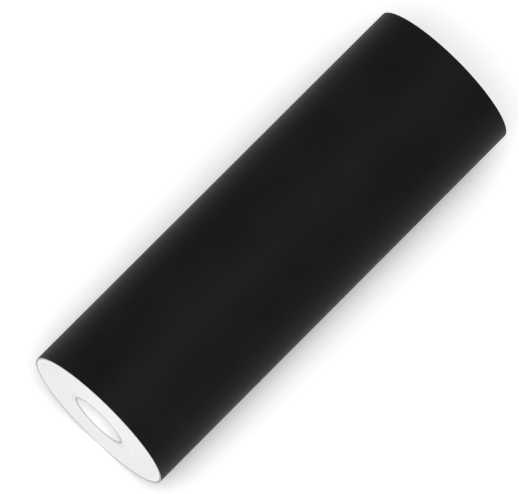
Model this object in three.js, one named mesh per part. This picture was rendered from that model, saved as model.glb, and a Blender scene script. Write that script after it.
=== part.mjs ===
// A roll of sign vinyl: a three-layer web (black film, adhesive, release liner) wound film side out on a
// spiral-wound paper core. The last part of the outer turn is the free end. Two closing tapes hold it
// down. It uncurls in five hinged steps, and its liner peels away over the last three of them.
// Millimetres, +Z up. The roll lies on a floor at z = 0 with its axis along X, above the origin.

import * as THREE from "three";

// Driving dimensions
const WEB_WIDTH = 630;
const ROLL_RADIUS = 109.5;
const BORE_RADIUS = 38.1;
const CORE_WALL = 7;
const CORE_PLIES = 5;
const LAYER_GAP = 0.15; // clearance between neighbouring layers
const CUT_GAP = 0.3; // clearance where one piece ends and the next begins

// The outer two turns and the free end. Their layers are thicker than life, so that each is a sound solid.
const FILM = 0.5;
const ADHESIVE = 0.2;
const LINER = 0.45;
const THIN_TURNS = 2;
const THIN_TURN = FILM + ADHESIVE + LINER + 3 * LAYER_GAP;

// Each turn below them stands for a few dozen real ones.
const THICK_TURNS = 6;
const THICK_CLIMB = 90; // degrees over which a thick turn climbs on to the one below
const WEB_START = 15; // degrees past the angle where the first thick turn would have no thickness

// Round surfaces have flat facets. One lies flat on the floor, centred at -90 degrees.
const FACETS = 48;
const FACET = 360 / FACETS;

// Angles in the section, in degrees: 0 along +Y, 90 along +Z
const TAIL_STEPS = 5;
const STEP = 2 * FACET;
const TAIL_ROOT = -90 + FACET / 2;
const TAIL_EDGE = TAIL_ROOT + TAIL_STEPS * STEP;

// Tapes and label, each with its span in degrees
const TAPE_THICK = 0.3;
const TAPE_WIDTH = 48;
const TAPE_CENTRES = { left: -190, right: 190 };
const TAPE_ANCHOR_SPAN = FACET;
const TAPE_FLAP_SPAN = 2 * FACET;
const START_TAPE_THICK = 0.3;
const START_TAPE_WIDTH = 60;
const START_TAPE_CENTRES = { left: -200, right: 200 };
const START_TAPE_SPAN = 45;
const LABEL_THICK = 0.3;
const LABEL_WIDTH = 70;
const LABEL_INSET = 15; // from the core's far end
const LABEL_MIDDLE = 90;
const LABEL_SPAN = 60;

const CORE_RADIUS = BORE_RADIUS + CORE_WALL;
const WEB_INNER_RADIUS = CORE_RADIUS + START_TAPE_THICK + 4 * LAYER_GAP;
const AXIS_HEIGHT = ROLL_RADIUS * Math.cos(THREE.MathUtils.degToRad(FACET / 2));
const CUT = THREE.MathUtils.radToDeg(CUT_GAP / ROLL_RADIUS);

function finish(color, roughness) {
  return new THREE.MeshStandardMaterial({ color, roughness, metalness: 0 });
}
const film = finish(0x1d1d1b, 0.5);
const adhesive = finish(0xc9c8bf, 0.25);
const liner = finish(0xececec, 0.7);
const board = finish(0xdedcd6, 0.9);
const paleBoard = finish(0xf4f4f2, 0.85);
const tape = finish(0xf2efe4, 0.6);
const paper = finish(0xfafafa, 0.8);

// The section lies in this group's XY plane, and its Z axis is the roll's axis.
const roll = new THREE.Group();
roll.position.z = AXIS_HEIGHT;
roll.quaternion.setFromRotationMatrix(
  new THREE.Matrix4().makeBasis(
    new THREE.Vector3(0, 1, 0),
    new THREE.Vector3(0, 0, 1),
    new THREE.Vector3(1, 0, 0),
  ),
);

function pointAt(radius, degrees) {
  const angle = THREE.MathUtils.degToRad(degrees);
  return new THREE.Vector2(radius * Math.cos(angle), radius * Math.sin(angle));
}

// Two angles and the facet corners between them
function corners(from, to) {
  const angles = [from];
  const first = Math.floor((from - TAIL_ROOT) / FACET + 1e-6) + 1;
  for (let i = first; TAIL_ROOT + i * FACET < to - 1e-6; i++)
    angles.push(TAIL_ROOT + i * FACET);
  angles.push(to);
  return angles;
}

function addExtruded(name, material, outline, width, centre) {
  const geometry = new THREE.ExtrudeGeometry(outline, { depth: width, bevelEnabled: false });
  const mesh = new THREE.Mesh(geometry, material);
  mesh.name = name;
  mesh.position.z = centre - width / 2;
  roll.add(mesh);
}

// A curved sheet from one angle to another, between two radii that may change with the angle
function addSheet(name, material, [from, to], [innerAt, outerAt], [width, centre]) {
  const angles = corners(from, to);
  const outside = angles.map((a) => pointAt(outerAt(a), a));
  const inside = angles.map((a) => pointAt(innerAt(a), a)).reverse();
  addExtruded(name, material, new THREE.Shape([...outside, ...inside]), width, centre);
}

// A small patch of even thickness, such as a tape or a label
function addPatch(name, material, span, outer, thick, place) {
  addSheet(name, material, span, [() => outer - thick, () => outer], place);
}

// A closed ring over the whole width
function addRing(name, material, inner, outer) {
  const angles = corners(TAIL_ROOT, TAIL_ROOT + 360).slice(0, -1);
  const outline = new THREE.Shape(angles.map((a) => pointAt(outer, a)));
  outline.holes.push(new THREE.Path(angles.map((a) => pointAt(inner, a))));
  addExtruded(name, material, outline, WEB_WIDTH, 0);
}

// Core: plies glued one over the other, and a label inside its far end
function addCore() {
  const ply = (CORE_WALL - (CORE_PLIES - 1) * LAYER_GAP) / CORE_PLIES;
  for (let i = 0; i < CORE_PLIES; i++) {
    const inner = BORE_RADIUS + i * (ply + LAYER_GAP);
    const place = i === 0 ? "inner_ply" : i === CORE_PLIES - 1 ? "outer_ply" : `body_ply_${i}`;
    addRing(`core_${place}`, i === 0 ? paleBoard : board, inner, inner + ply);
  }
  const span = [LABEL_MIDDLE - LABEL_SPAN / 2, LABEL_MIDDLE + LABEL_SPAN / 2];
  const centre = WEB_WIDTH / 2 - LABEL_INSET - LABEL_WIDTH / 2;
  const outer = BORE_RADIUS - LAYER_GAP;
  addPatch("core_label", paper, span, outer, LABEL_THICK, [LABEL_WIDTH, centre]);
}

// Double-sided tapes between the core and the start of the web
function addStartTapes() {
  const from = TAIL_EDGE + WEB_START;
  const outer = CORE_RADIUS + 2 * LAYER_GAP + START_TAPE_THICK;
  for (const [side, centre] of Object.entries(START_TAPE_CENTRES)) {
    const place = [START_TAPE_WIDTH, centre];
    addPatch(`start_tape_${side}`, tape, [from, from + START_TAPE_SPAN], outer, START_TAPE_THICK, place);
  }
}

// Radius of the top of a turn's bed once it has climbed on to it. Turn 0 lies on the core.
function bedOfTurn(turn) {
  const thick = (ROLL_RADIUS - THIN_TURNS * THIN_TURN - WEB_INNER_RADIUS) / THICK_TURNS;
  const thickTurns = THREE.MathUtils.clamp(turn, 0, THICK_TURNS);
  const thinTurns = Math.max(turn - THICK_TURNS, 0);
  return WEB_INNER_RADIUS + thickTurns * thick + thinTurns * THIN_TURN;
}

// Radius on which the web lies at an angle that counts on, turn after turn, from TAIL_EDGE
function bedAt(angle) {
  const turn = Math.floor((angle - TAIL_EDGE) / 360 + 1e-9);
  const climb = turn > THICK_TURNS ? FACET : THICK_CLIMB;
  const climbed = THREE.MathUtils.clamp((angle - TAIL_EDGE - turn * 360) / climb, 0, 1);
  return THREE.MathUtils.lerp(bedOfTurn(turn - 1), bedOfTurn(turn), climbed);
}

// The web's three layers over a span of such angles, each up to the turn above less its clearances.
// Each layer is named by nameOf.
function addWeb(nameOf, span) {
  const solid = FILM + ADHESIVE + LINER;
  const layers = [
    ["film", film, FILM],
    ["adhesive", adhesive, ADHESIVE],
    ["liner", liner, LINER],
  ];
  let above = 0;
  layers.forEach(([layer, material, thick], i) => {
    const depthAt = (angle, share) => {
      const room = bedAt(angle + 360) - bedAt(angle) - layers.length * LAYER_GAP;
      return bedAt(angle + 360) - (room * share) / solid - i * LAYER_GAP;
    };
    const top = above;
    const radii = [(a) => depthAt(a, top + thick), (a) => depthAt(a, top)];
    addSheet(nameOf(layer), material, span, radii, [WEB_WIDTH, 0]);
    above += thick;
  });
}

// The wound web runs from its start on the core to the root of the free end. The free end is cut into
// steps that turn outwards about the corners of the outer surface.
function addWoundWebAndTail() {
  const lastTurns = (THICK_TURNS + THIN_TURNS) * 360;
  addWeb((layer) => `web_${layer}`, [TAIL_EDGE + WEB_START, TAIL_ROOT + lastTurns]);
  for (let i = 0; i < TAIL_STEPS; i++) {
    const from = TAIL_ROOT + lastTurns + i * STEP;
    addWeb((layer) => `tail_${layer}_${i + 1}`, [from + CUT, from + STEP]);
  }
}

// Each closing tape has one end stuck on the free end's last facet, and a flap that lies on the roll.
function addClosingTapes() {
  const outer = ROLL_RADIUS + LAYER_GAP + TAPE_THICK;
  const anchor = [TAIL_EDGE - TAPE_ANCHOR_SPAN, TAIL_EDGE];
  const flap = [TAIL_EDGE + CUT, TAIL_EDGE + TAPE_FLAP_SPAN];
  for (const [side, centre] of Object.entries(TAPE_CENTRES)) {
    addPatch(`tape_${side}_anchor`, tape, anchor, outer, TAPE_THICK, [TAPE_WIDTH, centre]);
    addPatch(`tape_${side}_flap`, tape, flap, outer, TAPE_THICK, [TAPE_WIDTH, centre]);
  }
}

addCore();
addStartTapes();
addWoundWebAndTail();
addClosingTapes();

const rollOfVinyl = new THREE.Group();
rollOfVinyl.add(roll);

export default rollOfVinyl;
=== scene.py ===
import math

import bmesh
import bpy
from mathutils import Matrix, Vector, noise


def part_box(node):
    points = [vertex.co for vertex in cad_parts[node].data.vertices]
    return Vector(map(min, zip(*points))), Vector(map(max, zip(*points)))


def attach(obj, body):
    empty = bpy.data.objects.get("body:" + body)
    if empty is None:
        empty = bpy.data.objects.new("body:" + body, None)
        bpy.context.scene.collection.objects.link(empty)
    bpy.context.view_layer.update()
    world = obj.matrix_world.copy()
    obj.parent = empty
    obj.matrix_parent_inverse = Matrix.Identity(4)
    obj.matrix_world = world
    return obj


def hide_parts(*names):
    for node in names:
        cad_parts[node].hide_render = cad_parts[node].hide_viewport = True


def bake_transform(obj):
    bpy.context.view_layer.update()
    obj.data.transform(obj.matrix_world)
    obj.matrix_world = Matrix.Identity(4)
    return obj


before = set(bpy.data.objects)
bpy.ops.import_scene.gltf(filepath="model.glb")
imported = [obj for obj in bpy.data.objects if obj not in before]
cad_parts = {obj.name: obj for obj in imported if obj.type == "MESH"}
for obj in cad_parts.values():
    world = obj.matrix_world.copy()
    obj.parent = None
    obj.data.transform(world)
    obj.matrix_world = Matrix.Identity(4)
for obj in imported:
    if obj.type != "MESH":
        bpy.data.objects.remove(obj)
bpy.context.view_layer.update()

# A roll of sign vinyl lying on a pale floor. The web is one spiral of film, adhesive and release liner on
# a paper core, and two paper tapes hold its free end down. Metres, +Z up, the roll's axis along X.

MM = 0.001

# Sizes that the frame gives
core_low, core_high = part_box("core_inner_ply")
AXIS_Z = (core_low.z + core_high.z) / 2
HALF_WIDTH = core_high.x
ROLL_RADIUS = AXIS_Z  # the roll touches the floor

# The web's real layers
FILM = 0.080 * MM
ADHESIVE = 0.025 * MM
LINER = 0.115 * MM
SLIP = 0.005 * MM  # left between two surfaces
WEB = FILM + ADHESIVE + LINER + 2 * SLIP
LAYERS = {
    "film": (0, FILM),
    "adhesive": (FILM + SLIP / 2, ADHESIVE),
    "liner": (FILM + ADHESIVE + SLIP, LINER),
}  # depth below the film's face, and thickness

# Angles in the section, in degrees: 0 along +Y and 90 along +Z. The web's own angle goes on counting
# down, turn after turn, from its free edge.
TAIL_STEPS = 5
TAIL_STEP = 15.0
TAIL_ROOT = -86.25
TAIL_EDGE = TAIL_ROOT + TAIL_STEPS * TAIL_STEP
FIRST_LINER_HINGE = 3  # the step where the liner leaves the film
OUTER_TURN_START = TAIL_ROOT - 390  # 30 degrees under the turn's own end, so that no joint shows there
STRIP_STEP = 1.5
STRIP_COLUMNS = 22  # points across the web

# The core
BORE_RADIUS = 38.1 * MM
CORE_WALL = 7 * MM
CORE_RADIUS = BORE_RADIUS + CORE_WALL
CORE_PLIES = ["core_inner_ply", "core_body_ply_1", "core_body_ply_2", "core_body_ply_3", "core_outer_ply"]
PLY_PITCH = CORE_WALL / len(CORE_PLIES)
PLY_GAP = 0.03 * MM
CORE_RECESS = 0.15 * MM  # the core is cut a little shorter than the web is wide

# The wound turns
TURN_SEGMENTS = 80
SEGMENT_ANGLE = 360 / TURN_SEGMENTS
WOUND_INNER_RADIUS = CORE_RADIUS + 0.15 * MM  # the start tapes lie in this gap
WANDER = [
    (0.045, 0.30 * MM, (3.1, 0.7)),
    (0.21, 0.10 * MM, (7.7, 2.2)),
    (0.83, 0.04 * MM, (1.9, 5.6)),
]  # changes to a turn, how far along X, and where in the noise it is read


def polar(radius, degrees, x):
    angle = math.radians(degrees)
    return Vector((x, radius * math.cos(angle), AXIS_Z + radius * math.sin(angle)))


def inward(degrees):
    angle = math.radians(degrees)
    return Vector((0, -math.cos(angle), -math.sin(angle)))


def web_radius(degrees):
    """Radius of the film's outer face at one of the web's own angles."""
    return ROLL_RADIUS + WEB * (degrees + 90) / 360


WOUND_END = TAIL_ROOT - 360  # the solid of wound turns stops under the outer turn
WOUND_SEGMENTS = int((web_radius(WOUND_END) - WOUND_INNER_RADIUS) / WEB * TURN_SEGMENTS)
WOUND_START = WOUND_END - WOUND_SEGMENTS * SEGMENT_ANGLE


def spread(low, high, count):
    """Evenly spaced numbers from low to high, both included."""
    return [low + (high - low) * i / (count - 1) for i in range(count)]


def smooth_step(t):
    t = min(1, max(0, t))
    return t * t * (3 - 2 * t)


def wander(degrees):
    """How far along X the web has strayed at one of its own angles, as it was wound."""
    turns = (degrees - WOUND_START) / 360
    return sum(reach * noise.noise(Vector((turns * rate, *place))) for rate, reach, place in WANDER)


# ---------------------------------------------------------------- meshes

SHARP = math.radians(30)


def add_object(name, bm, material):
    """Makes an object of a bmesh, smooth but for its sharp edges."""
    bmesh.ops.recalc_face_normals(bm, faces=bm.faces)
    for face in bm.faces:
        face.smooth = True
    for edge in bm.edges:
        edge.smooth = len(edge.link_faces) == 2 and edge.calc_face_angle(0) < SHARP
    mesh = bpy.data.meshes.new(name)
    bm.to_mesh(mesh)
    bm.free()
    mesh.materials.append(material)
    piece = bpy.data.objects.new(name, mesh)
    bpy.context.scene.collection.objects.link(piece)
    return piece


def thin_sheet(rows, thickness, flat):
    """A thin closed sheet. rows holds (point, direction) pairs: a point of the outer face, and the unit
    direction in which the inner face lies. flat holds each pair's place when the sheet is laid out."""
    bm = bmesh.new()
    uv = bm.loops.layers.uv.new("flat")
    place = {}
    outer, inner = [], []
    for row, flat_row in zip(rows, flat):
        outer.append([bm.verts.new(point) for point, _ in row])
        inner.append([bm.verts.new(point + direction * thickness) for point, direction in row])
        for side in (outer[-1], inner[-1]):
            place.update(zip(side, flat_row))

    def quad(*corners):
        for loop in bm.faces.new(corners).loops:
            loop[uv].uv = place[loop.vert]

    last = len(rows[0]) - 1
    for i in range(len(rows) - 1):
        for j in range(last):
            quad(outer[i][j], outer[i][j + 1], outer[i + 1][j + 1], outer[i + 1][j])
            quad(inner[i][j], inner[i + 1][j], inner[i + 1][j + 1], inner[i][j + 1])
        quad(outer[i][0], outer[i + 1][0], inner[i + 1][0], inner[i][0])
        quad(outer[i][last], inner[i][last], inner[i + 1][last], outer[i + 1][last])
    for j in range(last):
        quad(outer[0][j], inner[0][j], inner[0][j + 1], outer[0][j + 1])
        quad(outer[-1][j], outer[-1][j + 1], inner[-1][j + 1], inner[-1][j])
    return bm


def web_strip(name, layer, low, high):
    """One layer of the web between two of its own angles."""
    depth, thickness = LAYERS[layer]
    rows, flat = [], []
    for degrees in spread(low, high, round((high - low) / STRIP_STEP) + 1):
        stray = wander(degrees)
        xs = spread(-HALF_WIDTH + stray, HALF_WIDTH + stray, STRIP_COLUMNS)
        rows.append([(polar(web_radius(degrees) - depth, degrees, x), inward(degrees)) for x in xs])
        flat.append([(math.radians(degrees) * ROLL_RADIUS, x - stray) for x in xs])
    return add_object(name, thin_sheet(rows, thickness, flat), LAYER_MATERIALS[layer])


# ---------------------------------------------------------------- material helpers


def new_material(name, color, roughness, specular):
    material = bpy.data.materials.new(name)
    material.use_nodes = True
    shader = material.node_tree.nodes["Principled BSDF"]
    shader.inputs["Base Color"].default_value = (*color, 1)
    shader.inputs["Roughness"].default_value = roughness
    shader.inputs["Specular IOR Level"].default_value = specular
    return material, material.node_tree, shader


def grey(value):
    return (value, value, value)


def flat_place(tree, scale=(1, 1, 1)):
    """The sheet's own flat coordinates in metres, which stay on it as it bends."""
    uv = tree.nodes.new("ShaderNodeUVMap")
    uv.uv_map = "flat"
    mapping = tree.nodes.new("ShaderNodeMapping")
    mapping.inputs["Scale"].default_value = scale
    tree.links.new(uv.outputs["UV"], mapping.inputs["Vector"])
    return mapping.outputs["Vector"]


def object_place(tree):
    return tree.nodes.new("ShaderNodeTexCoord").outputs["Object"]


def pattern(tree, place, scale, detail=3, roughness=0.5):
    node = tree.nodes.new("ShaderNodeTexNoise")
    node.inputs["Scale"].default_value = scale
    node.inputs["Detail"].default_value = detail
    node.inputs["Roughness"].default_value = roughness
    tree.links.new(place, node.inputs["Vector"])
    return node.outputs["Fac"]


def ring_pattern(tree, radius, scale, detail=2):
    """Noise that changes with the radius only, which draws rings."""
    node = tree.nodes.new("ShaderNodeTexNoise")
    node.noise_dimensions = "1D"
    node.inputs["Scale"].default_value = scale
    node.inputs["Detail"].default_value = detail
    tree.links.new(radius, node.inputs["W"])
    return node.outputs["Fac"]


def tones(tree, value, *stops):
    """A colour for each value. stops are (value, colour) pairs."""
    node = tree.nodes.new("ShaderNodeValToRGB")
    elements = node.color_ramp.elements
    while len(elements) < len(stops):
        elements.new(0.5)
    for element, (position, color) in zip(elements, stops):
        element.position = position
        element.color = (*color, 1)
    tree.links.new(value, node.inputs["Fac"])
    return node.outputs["Color"]


def scaled(tree, value, source, target):
    """value with the source range stretched to the target range, and clipped to it."""
    node = tree.nodes.new("ShaderNodeMapRange")
    node.inputs["From Min"].default_value, node.inputs["From Max"].default_value = source
    node.inputs["To Min"].default_value, node.inputs["To Max"].default_value = target
    tree.links.new(value, node.inputs["Value"])
    return node.outputs["Result"]


def combine(tree, operation, a, b):
    node = tree.nodes.new("ShaderNodeMath")
    node.operation = operation
    for socket, value in zip(node.inputs, (a, b)):
        if isinstance(value, (int, float)):
            socket.default_value = value
        else:
            tree.links.new(value, socket)
    return node.outputs["Value"]


def multiplied(tree, a, b):
    """One colour times another."""
    node = tree.nodes.new("ShaderNodeMix")
    node.data_type = "RGBA"
    node.blend_type = "MULTIPLY"
    node.inputs["Factor"].default_value = 1
    color_a, color_b, color_out = node.inputs[6], node.inputs[7], node.outputs[2]
    tree.links.new(a, color_a)
    tree.links.new(b, color_b)
    return color_out


def section_place(tree):
    """(x, y, z) from the roll's axis, and the distance from that axis, in metres."""
    centred = tree.nodes.new("ShaderNodeVectorMath")
    centred.operation = "SUBTRACT"
    centred.inputs[1].default_value = (0, 0, AXIS_Z)
    tree.links.new(object_place(tree), centred.inputs[0])
    split = tree.nodes.new("ShaderNodeSeparateXYZ")
    tree.links.new(centred.outputs["Vector"], split.inputs["Vector"])
    x, y, z = split.outputs
    squares = combine(tree, "ADD", combine(tree, "MULTIPLY", y, y), combine(tree, "MULTIPLY", z, z))
    return x, y, z, combine(tree, "SQRT", squares, 0)


def connect(tree, shader, color=None, roughness=None, height=None, bump=0.3, depth=0.0002):
    if color:
        tree.links.new(color, shader.inputs["Base Color"])
    if roughness:
        tree.links.new(roughness, shader.inputs["Roughness"])
    if height:
        node = tree.nodes.new("ShaderNodeBump")
        node.inputs["Strength"].default_value = bump
        node.inputs["Distance"].default_value = depth
        tree.links.new(height, node.inputs["Height"])
        tree.links.new(node.outputs["Normal"], shader.inputs["Normal"])


# ---------------------------------------------------------------- materials


def vinyl_film():
    """Calendered black vinyl: satin, with orange peel, fine rub marks along the web and a little bloom."""
    material, tree, shader = new_material("vinyl_film", grey(0.006), 0.5, 0.045)
    place = flat_place(tree)
    clouds = pattern(tree, place, 9, 4)
    tone = tones(tree, clouds, (0.3, (0.0048, 0.0048, 0.0040)), (0.7, (0.0072, 0.0072, 0.0062)))
    rubs = pattern(tree, flat_place(tree, (1, 26, 1)), 14, 6, 0.65)
    rub_tone = tones(tree, rubs, (0.35, grey(0.9)), (0.7, grey(1.0)))
    roughness = combine(
        tree,
        "ADD",
        scaled(tree, clouds, (0.3, 0.7), (0.44, 0.52)),
        scaled(tree, rubs, (0.3, 0.7), (-0.03, 0.06)),
    )
    peel = combine(tree, "MULTIPLY", pattern(tree, place, 620, 2), 0.15)
    height = combine(tree, "ADD", peel, pattern(tree, flat_place(tree, (1, 3, 1)), 16, 2))
    connect(tree, shader, multiplied(tree, tone, rub_tone), roughness, height, 0.3, 0.0010)
    return material


def clear_adhesive():
    """The film's adhesive coat over a grey primer: glossy, with faint coating lines along the web."""
    material, tree, shader = new_material("adhesive", (0.4, 0.4, 0.37), 0.26, 0.5)
    lines = pattern(tree, flat_place(tree, (1, 30, 1)), 9, 4, 0.6)
    clouds = pattern(tree, flat_place(tree), 12, 3)
    line_tone = tones(tree, lines, (0.3, (0.39, 0.39, 0.365)), (0.7, (0.42, 0.42, 0.395)))
    cloud_tone = tones(tree, clouds, (0.3, grey(0.95)), (0.7, grey(1.0)))
    roughness = scaled(tree, clouds, (0.3, 0.7), (0.22, 0.32))
    connect(tree, shader, multiplied(tree, line_tone, cloud_tone), roughness, lines, 0.15, 0.0001)
    return material


def release_liner():
    """White silicone-coated kraft: satin, with the cloudy formation of paper."""
    material, tree, shader = new_material("release_liner", grey(0.85), 0.45, 0.4)
    place = flat_place(tree)
    clouds = pattern(tree, place, 260, 5, 0.6)
    tone = tones(tree, clouds, (0.3, (0.80, 0.80, 0.785)), (0.7, (0.88, 0.88, 0.87)))
    roughness = scaled(tree, clouds, (0.3, 0.7), (0.38, 0.52))
    connect(tree, shader, tone, roughness, pattern(tree, place, 900, 3), 0.2, 0.0001)
    return material


def wound_edges():
    """The slit edges of the wound turns: light grey, a hairline to each turn, rings where the web changed
    tension, and a darker rim."""
    material, tree, shader = new_material("wound_edges", grey(0.80), 0.7, 0.25)
    _, y, z, radius = section_place(tree)
    angle = combine(tree, "DIVIDE", combine(tree, "ARCTAN2", z, y), math.tau)
    turn = combine(tree, "SUBTRACT", combine(tree, "DIVIDE", radius, WEB), angle)
    hair = combine(tree, "PINGPONG", turn, 0.5)
    hair_tone = tones(tree, hair, (0.0, grey(0.86)), (0.42, grey(1.0)))
    fine_tone = tones(tree, ring_pattern(tree, radius, 1500, 2), (0.3, grey(0.94)), (0.7, grey(1.0)))
    band_tone = tones(tree, ring_pattern(tree, radius, 130, 3), (0.3, grey(0.80)), (0.7, grey(0.86)))
    rim_width, rim_fade = 2.4 * MM, 0.8 * MM
    rim_inner = ROLL_RADIUS - rim_width
    rim = scaled(tree, radius, (rim_inner - rim_fade, rim_inner), (0, 1))
    rim_tone = tones(tree, rim, (0.0, grey(1.0)), (1.0, grey(0.45)))
    tone = multiplied(tree, multiplied(tree, band_tone, fine_tone), multiplied(tree, hair_tone, rim_tone))
    grit = pattern(tree, object_place(tree), 700, 3)
    roughness = scaled(tree, grit, (0.3, 0.7), (0.62, 0.8))
    connect(tree, shader, tone, roughness, grit, 0.3, 0.0001)
    return material


def core_board(name, tint):
    """Core board: grey pressed paper with short fibres, cut by a knife at its ends."""
    material, tree, shader = new_material(name, grey(0.8), 0.85, 0.2)
    place = object_place(tree)
    fibres = pattern(tree, place, 800, 6, 0.7)
    dark, light = [c * 0.72 * tint for c in (1, 0.99, 0.965)], [c * 0.86 * tint for c in (1, 0.995, 0.98)]
    fibre_tone = tones(tree, fibres, (0.3, dark), (0.65, light))
    blotch_tone = tones(tree, pattern(tree, place, 60, 3), (0.3, grey(0.95)), (0.7, grey(1.0)))
    roughness = scaled(tree, fibres, (0.3, 0.7), (0.8, 0.95))
    connect(tree, shader, multiplied(tree, fibre_tone, blotch_tone), roughness, fibres, 0.4, 0.0002)
    return material


def core_lining():
    """The white paper that lines the bore: smooth, darker grey in a band at its cut ends and rims."""
    material, tree, shader = new_material("core_lining", grey(0.88), 0.6, 0.3)
    x, _, _, _ = section_place(tree)
    place = object_place(tree)
    fibres = pattern(tree, place, 520, 5, 0.6)
    fibre_tone = tones(tree, fibres, (0.3, grey(0.91)), (0.7, grey(0.96)))
    from_middle = combine(tree, "ABSOLUTE", x, 0)
    # the colour darkens to half within 0.7 mm of each cut end, fading in over 0.9 mm more
    end_band_width, end_band_fade = 0.7 * MM, 0.9 * MM
    end_band_inner = HALF_WIDTH - end_band_width
    end_band = scaled(tree, from_middle, (end_band_inner - end_band_fade, end_band_inner), (0, 1))
    end_band_tone = tones(tree, end_band, (0.0, grey(1.0)), (1.0, grey(0.5)))
    roughness = scaled(tree, fibres, (0.3, 0.7), (0.52, 0.68))
    connect(tree, shader, multiplied(tree, fibre_tone, end_band_tone), roughness, fibres, 0.25, 0.0001)
    return material


def label_paper():
    """Smooth coated label stock."""
    material, tree, shader = new_material("label_paper", grey(0.85), 0.4, 0.45)
    place = flat_place(tree)
    mottle = pattern(tree, place, 300, 4)
    tone = tones(tree, mottle, (0.3, (0.74, 0.77, 0.80)), (0.7, (0.78, 0.81, 0.84)))
    roughness = scaled(tree, mottle, (0.3, 0.7), (0.33, 0.46))
    connect(tree, shader, tone, roughness, mottle, 0.2, 0.0001)
    return material


def crepe_paper(name, light, dark):
    """Crepe paper tape: fine ridges across its length, with painted shade that makes it a little darker in
    the creases.
    """
    material, tree, shader = new_material(name, light, 0.6, 0.3)
    crinkles = pattern(tree, flat_place(tree, (5, 1, 1)), 330, 4, 0.65)
    blotches = pattern(tree, flat_place(tree), 70, 3)
    # painted shade: the colour goes to the darker tone where the ridges are low, in the creases
    tone = tones(tree, crinkles, (0.32, dark), (0.62, light))
    blotch_tone = tones(tree, blotches, (0.3, grey(0.94)), (0.7, grey(1.0)))
    roughness = scaled(tree, crinkles, (0.3, 0.7), (0.5, 0.72))
    connect(tree, shader, multiplied(tree, tone, blotch_tone), roughness, crinkles, 0.6, 0.0002)
    return material


LAYER_MATERIALS = {"film": vinyl_film(), "adhesive": clear_adhesive(), "liner": release_liner()}

# ---------------------------------------------------------------- the core


def end_of_ply(degrees, radius, sign):
    """Where a ply's cut end lies: the knife left it slightly uneven. The noise is read along a circle,
    with another circle for each radius and each end."""
    angle = math.radians(degrees)
    reading_radius, unevenness = 2.2, 0.12 * MM
    level = radius / MM * 0.9 + sign * 7
    place = Vector((reading_radius * math.cos(angle), reading_radius * math.sin(angle), level))
    return sign * (HALF_WIDTH - CORE_RECESS + unevenness * noise.noise(place))


def add_board_ply(name, inner, outer, material):
    """A ply of core board: a tube with rounded rims."""
    segments, rim = 180, 0.12 * MM
    radii = [inner, *spread(inner + rim, outer - rim, 4), outer]
    bm = bmesh.new()
    rings = []
    for sign in (-1, 1):
        for radius in radii[::-sign]:
            inset = rim if radius in (inner, outer) else 0
            ring = []
            for s in range(segments):
                degrees = 360 * s / segments
                x = end_of_ply(degrees, radius, sign) - sign * inset
                ring.append(bm.verts.new(polar(radius, degrees, x)))
            rings.append(ring)
    for ring, following in zip(rings, rings[1:] + rings[:1]):
        for s in range(segments):
            n = (s + 1) % segments
            bm.faces.new((ring[s], ring[n], following[n], following[s]))
    return add_object(name, bm, material)


def close_ply_end(bm, sign, middle_radius):
    """Joins the two cut circles at one end of the lining, point by point round the axis."""
    rim = {v for e in bm.edges if e.is_boundary for v in e.verts if v.co.x * sign > 0}
    circles = ([], [])
    for vert in rim:
        y, z = vert.co.y, vert.co.z - AXIS_Z
        circles[math.hypot(y, z) > middle_radius].append((math.atan2(z, y), vert))
    small, large = ([vert for _, vert in sorted(circle, key=lambda pair: pair[0])] for circle in circles)
    for i in range(len(small)):
        bm.faces.new((small[i - 1], small[i], large[i], large[i - 1]))


def add_lining_ply(name, inner, outer, material):
    """The innermost ply, a strip of paper wound as a helix: its butt seam is a groove that winds along
    the bore. Both walls are made over-long on one sheared grid, and then cut to length."""
    segments = 144
    lead = 172 * MM  # how far the seam moves along X in one turn
    groove, depth = 1.3 * MM, 0.5 * MM
    seam = [(-groove / 2, 0), (-groove / 6, depth), (groove / 6, depth), (groove / 2, 0)]
    wall = [(u, 0) for u in spread(0, lead, 13)[1:-1]]
    per_lead = len(seam) + len(wall)
    stations = []  # (distance along X, depth below the bore's wall)
    for k in range(math.ceil(2 * HALF_WIDTH / lead) + 3):
        stations += [(k * lead + u, d) for u, d in seam + wall]
    origin = -HALF_WIDTH - 1.5 * lead
    bm = bmesh.new()
    for radius, groove_share in ((inner, 1), (outer, 0)):
        grid = []
        for s in range(segments):
            degrees, advance = 360 * s / segments, lead * s / segments
            line = [polar(radius + groove_share * d, degrees, origin + u + advance) for u, d in stations]
            grid.append([bm.verts.new(point) for point in line])
        for s in range(segments):
            n = (s + 1) % segments
            skip = per_lead if n == 0 else 0  # a whole turn carries the grid one lead along
            for j in range(len(stations) - 1 - per_lead):
                here, there = grid[s][j : j + 2], grid[n][j + skip : j + skip + 2]
                bm.faces.new((here[0], here[1], there[1], there[0]))
    cut = HALF_WIDTH - CORE_RECESS
    for sign in (-1, 1):
        bmesh.ops.bisect_plane(
            bm,
            geom=[*bm.verts, *bm.edges, *bm.faces],
            plane_co=(sign * cut, 0, 0),
            plane_no=(sign, 0, 0),
            clear_outer=True,
        )
    for sign in (-1, 1):
        close_ply_end(bm, sign, (inner + outer) / 2)
    loose = [v for v in bm.verts if not v.link_faces]
    bmesh.ops.delete(bm, geom=loose, context="VERTS")
    return add_object(name, bm, material)


def add_core():
    tints = (0.58, 1.0, 0.96, 1.0)  # of the board plies, from the inside out
    for i, node in enumerate(CORE_PLIES):
        inner = BORE_RADIUS + i * PLY_PITCH
        outer = inner + PLY_PITCH - PLY_GAP
        if i == 0:
            piece = add_lining_ply("bore_lining", inner, outer, core_lining())
        else:
            board = core_board(f"core_board_{i}", tints[i - 1])
            piece = add_board_ply(f"board_ply_{i}", inner, outer, board)
        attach(piece, "roll")
        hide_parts(node)


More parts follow.
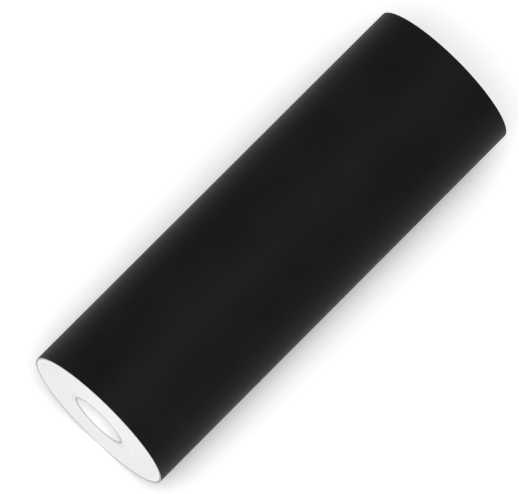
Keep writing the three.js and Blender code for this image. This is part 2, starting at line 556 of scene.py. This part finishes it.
def add_label():
    """A blank label stuck inside the top of the bore, with rounded corners."""
    low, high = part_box("core_label")
    thickness, corner, half_span = 0.12 * MM, 6 * MM, 30
    radius = BORE_RADIUS - thickness - SLIP
    half_arc = math.radians(half_span) * radius
    width = high.x - low.x
    rows, flat = [], []
    rounding = [corner * (1 - math.cos(math.radians(a))) for a in range(0, 91, 10)]
    xs = rounding + spread(corner, width - corner, 12)[1:-1] + [width - r for r in reversed(rounding)]
    for x in xs:
        from_end = min(x, width - x, corner)
        reach = half_arc - corner + math.sqrt(max(0, corner**2 - (corner - from_end) ** 2))
        arcs = spread(-reach, reach, 40)
        angles = [90 + math.degrees(arc / radius) for arc in arcs]
        rows.append([(polar(radius, a, low.x + x), -inward(a)) for a in angles])
        flat.append([(arc, x) for arc in arcs])
    piece = add_object("blank_core_label", thin_sheet(rows, thickness, flat), label_paper())
    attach(piece, "roll")
    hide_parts("core_label")


def add_start_tapes():
    """The tapes that hold the web's first turn to the core, hidden under the turns."""
    material = crepe_paper("start_tape", (0.62, 0.52, 0.36), (0.50, 0.41, 0.27))
    start, span = TAIL_EDGE + TAIL_STEP, 45
    thickness, above_core = 0.10 * MM, 0.02 * MM
    radius = CORE_RADIUS + above_core + thickness
    for side in ("left", "right"):
        low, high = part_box(f"start_tape_{side}")
        xs = spread(low.x, high.x, 7)
        rows, flat = [], []
        for degrees in spread(start, start + span, 16):
            rows.append([(polar(radius, degrees, x), inward(degrees)) for x in xs])
            flat.append([(math.radians(degrees) * CORE_RADIUS, x) for x in xs])
        piece = add_object(f"core_tape_{side}", thin_sheet(rows, thickness, flat), material)
        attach(piece, "roll")
        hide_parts(f"start_tape_{side}")


# ---------------------------------------------------------------- the wound web


def add_wound_turns():
    """All the turns under the outer one as one solid. Each end face follows the web's spiral, a sloped band
    and a groove to a turn, and strays along X with the web."""
    groove_width, groove_depth, slope = 0.15 * WEB, 0.05 * MM, 0.03 * MM
    verts, faces = [], []
    rims = {}
    for sign in (-1, 1):
        edge_rows, groove_rows = [], []
        for k in range(WOUND_SEGMENTS + 1):
            degrees = WOUND_START + k * SEGMENT_ANGLE
            radius = web_radius(degrees)
            x = sign * HALF_WIDTH + wander(degrees)
            edge_rows.append(len(verts))
            verts.append(polar(radius, degrees, x - sign * slope))
            groove_rows.append(len(verts))
            verts.append(polar(radius + groove_width, degrees, x - sign * groove_depth))
        for k in range(WOUND_SEGMENTS - TURN_SEGMENTS):
            up = k + TURN_SEGMENTS
            faces.append((edge_rows[k], edge_rows[k + 1], groove_rows[k + 1], groove_rows[k]))
            faces.append((groove_rows[k], groove_rows[k + 1], edge_rows[up + 1], edge_rows[up]))
        rims[sign] = (edge_rows, groove_rows)
    (near_edge, near_groove), (far_edge, far_groove) = rims[-1], rims[1]
    last = WOUND_SEGMENTS - TURN_SEGMENTS
    for first in (0, last):
        for k in range(first, first + TURN_SEGMENTS):
            faces.append((near_edge[k], near_edge[k + 1], far_edge[k + 1], far_edge[k]))
        up = first + TURN_SEGMENTS
        near = (near_edge[first], near_groove[first], near_edge[up])
        far = (far_edge[up], far_groove[first], far_edge[first])
        faces.append((*near, *far))
    mesh = bpy.data.meshes.new("wound_turns")
    mesh.from_pydata(verts, [], faces)
    bm = bmesh.new()
    bm.from_mesh(mesh)
    bpy.data.meshes.remove(mesh)
    loose = [v for v in bm.verts if not v.link_faces]
    bmesh.ops.delete(bm, geom=loose, context="VERTS")
    piece = add_object("wound_turns", bm, wound_edges())
    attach(piece, "roll")
    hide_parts("web_film", "web_adhesive", "web_liner")


def add_outer_turn():
    """The outer turn, layer by layer, from under the free end to where that end lifts off."""
    for layer in LAYERS:
        piece = web_strip(f"outer_turn_{layer}", layer, OUTER_TURN_START, TAIL_ROOT)
        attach(piece, "roll")
        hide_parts(f"web_{layer}")


def add_free_end():
    """The free end, layer by layer. Each length lies in place round the roll, and meets the next halfway.
    """
    for layer in LAYERS:
        for step in range(1, TAIL_STEPS + 1):
            hinge = TAIL_ROOT + (step - 1) * TAIL_STEP
            low = hinge if step == 1 else hinge - TAIL_STEP / 2
            high = hinge + TAIL_STEP / 2
            end = TAIL_EDGE if step == TAIL_STEPS else high
            piece = web_strip(f"free_end_{layer}_{step}", layer, low, end)
            parent = "roll" if step == 1 else f"tail_{step - 1}"
            if layer == "liner" and step >= FIRST_LINER_HINGE:
                parent = parent if step == FIRST_LINER_HINGE else f"liner_{step - 1}"
            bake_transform(piece)
            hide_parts(f"tail_{layer}_{step}")


# ---------------------------------------------------------------- the closing tapes


CLOSING_TAPE = 0.13 * MM  # its thickness
TAPE_START = TAIL_EDGE - 7.5
TAPE_END = TAIL_EDGE + 15
TAPE_DROP = 1.3  # the tape comes down past the free edge within this angle
TAB = TAPE_END - 5  # where the folded tab starts
TAB_RISE = 0.3  # the tab reaches its double thickness within this angle


def closing_tape_radius(degrees, nominal):
    """Radius of a closing tape's outer face. The tape lies on the free end and, past its edge, on the turn
    below, and it is two layers thick at the tab. nominal is the angle without the torn end's teeth."""
    past_edge = smooth_step((degrees - TAIL_EDGE) / TAPE_DROP)
    layers = 1 + smooth_step((nominal - TAB) / TAB_RISE)
    return web_radius(degrees) - WEB * past_edge + SLIP + CLOSING_TAPE * layers


def closing_tape_angles():
    """The angles of a tape's rows, closer together where it drops and where the tab rises."""
    dropped = TAIL_EDGE + TAPE_DROP + 0.3
    stops = [(TAIL_EDGE, 11), (dropped, 8), (TAB, 15), (TAB + TAB_RISE, 3), (TAPE_END, 7)]
    angles = [TAPE_START]
    for stop, steps in stops:
        angles += spread(angles[-1], stop, steps + 1)[1:]
    return angles


def add_closing_tapes():
    """Two crepe paper tapes over the free edge. One end is torn on a cutter's teeth, the other is folded
    back on itself as a tab."""
    material = crepe_paper("closing_tape", (0.80, 0.72, 0.53), (0.66, 0.58, 0.40))
    tooth, tooth_depth, toothed_rows = 2 * MM, 0.9 * MM, 2
    for side in ("left", "right"):
        low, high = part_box(f"tape_{side}_flap")
        xs = spread(low.x, high.x, 2 * round((high.x - low.x) / tooth) + 1)
        rows, flat = [], []
        for i, nominal in enumerate(closing_tape_angles()):
            row, flat_row = [], []
            for j, x in enumerate(xs):
                torn = tooth_depth * (j % 2) * max(0, 1 - i / toothed_rows)
                degrees = nominal + math.degrees(torn / ROLL_RADIUS)
                radius = closing_tape_radius(degrees, nominal)
                row.append((polar(radius, degrees, x), inward(degrees)))
                flat_row.append((math.radians(degrees) * ROLL_RADIUS, x))
            rows.append(row)
            flat.append(flat_row)
        piece = add_object(f"closing_tape_{side}", thin_sheet(rows, CLOSING_TAPE, flat), material)
        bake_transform(piece)
        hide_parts(f"tape_{side}_anchor", f"tape_{side}_flap")


# ---------------------------------------------------------------- the studio


LIGHT_DISTANCE = 3.5


def add_floor():
    half, z = 30, -0.02 * MM  # a hair under the roll, so that the two faces don't mix
    corners = [(-half, -half, z), (half, -half, z), (half, half, z), (-half, half, z)]
    mesh = bpy.data.meshes.new("floor")
    mesh.from_pydata(corners, [], [(0, 1, 2, 3)])
    material, _, _ = new_material("floor", grey(0.93), 0.9, 0.1)
    mesh.materials.append(material)
    floor = bpy.data.objects.new("floor", mesh)
    bpy.context.scene.collection.objects.link(floor)


def direction(azimuth, elevation):
    """Unit vector from the roll to a point seen over it. Azimuth 0 is -Y and 90 is +X, in degrees."""
    turn, tilt = math.radians(azimuth), math.radians(elevation)
    return Vector((math.sin(turn) * math.cos(tilt), -math.cos(turn) * math.cos(tilt), math.sin(tilt)))


def add_light(name, azimuth, elevation, size, power):
    """A soft square light that shines on the roll's middle."""
    lamp = bpy.data.lights.new(name, "AREA")
    lamp.size = size
    lamp.energy = power
    light = bpy.data.objects.new(name, lamp)
    back = direction(azimuth, elevation)
    light.location = Vector((0, 0, AXIS_Z)) + back * LIGHT_DISTANCE
    light.rotation_mode = "QUATERNION"
    light.rotation_quaternion = (-back).to_track_quat("-Z", "Y")
    light.visible_camera = False
    bpy.context.scene.collection.objects.link(light)


def add_studio():
    scene = bpy.context.scene
    world = bpy.data.worlds.new("studio")
    world.use_nodes = True
    background = world.node_tree.nodes["Background"]
    background.inputs["Color"].default_value = (1, 1, 1, 1)
    background.inputs["Strength"].default_value = 0.65
    scene.world = world
    scene.view_settings.view_transform = "Standard"
    scene.view_settings.look = "None"
    add_floor()
    add_light("key", azimuth=-46, elevation=73, size=2.0, power=62)
    add_light("end_light", azimuth=-80, elevation=60, size=2.0, power=31)
    add_light("fill", azimuth=80, elevation=45, size=2.5, power=15)


def add_camera():
    """The camera stands high up and far off on the near left, and looks down the roll at 45 degrees."""
    azimuth, elevation, distance = -46.29, 72.95, 15.0
    sensor_width, focal_length = 36, 825.4
    aside = 15.5 * MM  # how far left of the roll's middle the view is centred
    back = direction(azimuth, elevation)
    right = direction(azimuth + 90, 0)
    data = bpy.data.cameras.new("camera")
    data.sensor_width = sensor_width
    data.lens = focal_length
    data.clip_end = 100  # well past the floor
    camera = bpy.data.objects.new("camera", data)
    camera.location = Vector((0, 0, AXIS_Z)) - right * aside + back * distance
    camera.rotation_mode = "QUATERNION"
    camera.rotation_quaternion = (-back).to_track_quat("-Z", "Y")
    bpy.context.scene.collection.objects.link(camera)
    bpy.context.scene.camera = camera


add_camera()
add_studio()
add_core()
add_label()
add_start_tapes()
add_wound_turns()
add_outer_turn()
add_free_end()
add_closing_tapes()
